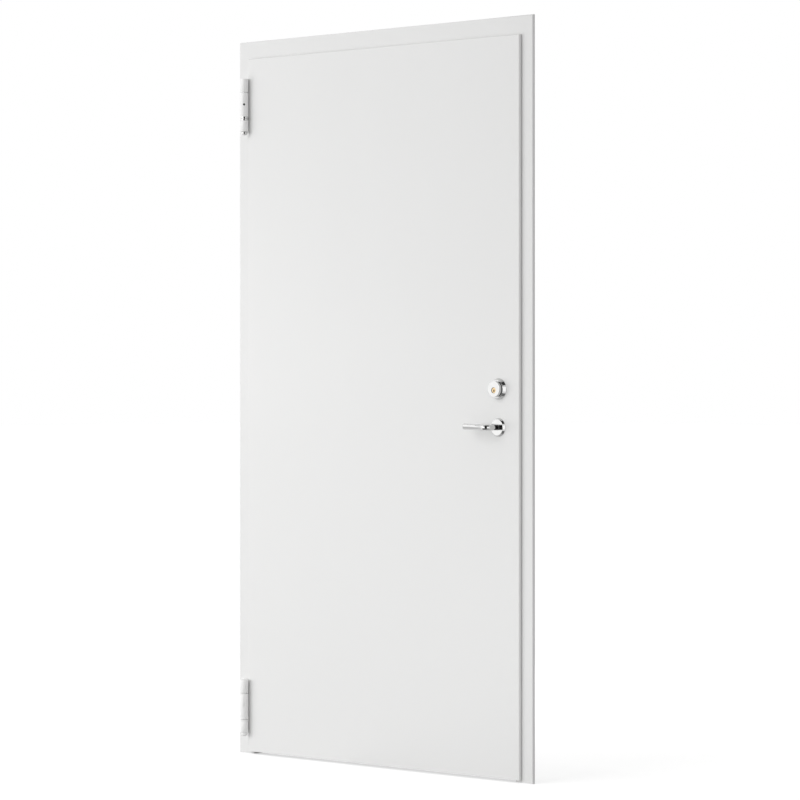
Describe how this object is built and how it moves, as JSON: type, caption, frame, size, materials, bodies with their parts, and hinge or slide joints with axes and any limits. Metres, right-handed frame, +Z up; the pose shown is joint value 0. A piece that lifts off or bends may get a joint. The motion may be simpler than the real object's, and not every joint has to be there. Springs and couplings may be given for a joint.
{
  "type": "fire rated steel door",
  "caption": "Single flush steel fire door with a lap, on barrel hinges in a folded steel frame, with a round lock cylinder and a lever handle.",
  "frame": {"origin": "on the wall side of the hinge jamb's flange, at the middle of its bearing strip, at floor level", "axes": "+X along the door's width towards the lock, +Y into the wall, +Z up; the front faces -Y"},
  "size_m": [1.19, 0.1736, 2.09],
  "materials": {
    "frame_paint": "smooth white powder coat",
    "leaf_paint": "smooth white powder coat",
    "hinge_paint": "white powder coat",
    "seal_rubber": "matt black extruded seal",
    "sleeve_zinc": "zinc plated",
    "strike_steel": "brushed stainless",
    "core_wool": "mineral wool",
    "fire_strip_grey": "matt graphite strip",
    "hinge_steel": "bright turned steel",
    "lock_chrome": "polished chrome",
    "plug_brass": "polished brass"
  },
  "bodies": {
    "frame": {"hinge_jamb_face": "frame_paint", "hinge_jamb_reveal": "frame_paint", "hinge_jamb_stop": "frame_paint", "lock_jamb_face": "frame_paint", "lock_jamb_reveal": "frame_paint", "lock_jamb_strike_web": "frame_paint", "lock_jamb_stop": "frame_paint", "frame_head": "frame_paint", "hinge_side_seal": "seal_rubber", "lock_side_seal": "seal_rubber", "head_seal": "seal_rubber", "hinge_jamb_sleeves": "sleeve_zinc", "lock_jamb_sleeves": "sleeve_zinc", "strike_plate": "strike_steel", "strike_box": "sleeve_zinc", "hinge_frame_halves": "hinge_paint", "hinge_frame_rings": "hinge_steel"},
    "leaf": {"leaf_front_panel": "leaf_paint", "leaf_back_panel": "leaf_paint", "leaf_core": "core_wool", "fire_strips": "fire_strip_grey", "lock_case": "sleeve_zinc", "lock_forend": "strike_steel", "latch_bolt": "strike_steel", "dead_bolt": "strike_steel", "hinge_leaf_halves": "hinge_paint", "hinge_pins": "hinge_steel", "hinge_leaf_rings": "hinge_steel", "hinge_grub_screws": "hinge_steel", "outer_cylinder_ring": "lock_chrome", "inner_cylinder_ring": "lock_chrome", "cylinder_housing": "lock_chrome", "thumb_turn": "lock_chrome", "outer_rose": "lock_chrome", "inner_rose": "lock_chrome"},
    "lever": {"outer_lever": "lock_chrome", "inner_lever": "lock_chrome", "lever_spindle": "hinge_steel"},
    "plug": {"key_plug": "plug_brass"}
  },
  "joints": [
    {"name": "leaf_hinge", "type": "hinge", "parent": "frame", "child": "leaf", "pos_m": [0.04, -0.0342, 1.05], "axis": [0, 0, -1], "range_deg": [0, 170]},
    {"name": "lever_turn", "type": "hinge", "parent": "leaf", "child": "lever", "pos_m": [1.0645, -0.0212, 0.967], "axis": [0, -1, 0], "range_deg": [0, 45], "stiffness_Nm_per_rad": 1.2, "springref_deg": -25.78},
    {"name": "plug_turn", "type": "hinge", "parent": "leaf", "child": "plug", "pos_m": [1.0645, -0.0212, 1.0685], "axis": [0, -1, 0], "continuous": true}
  ]
}
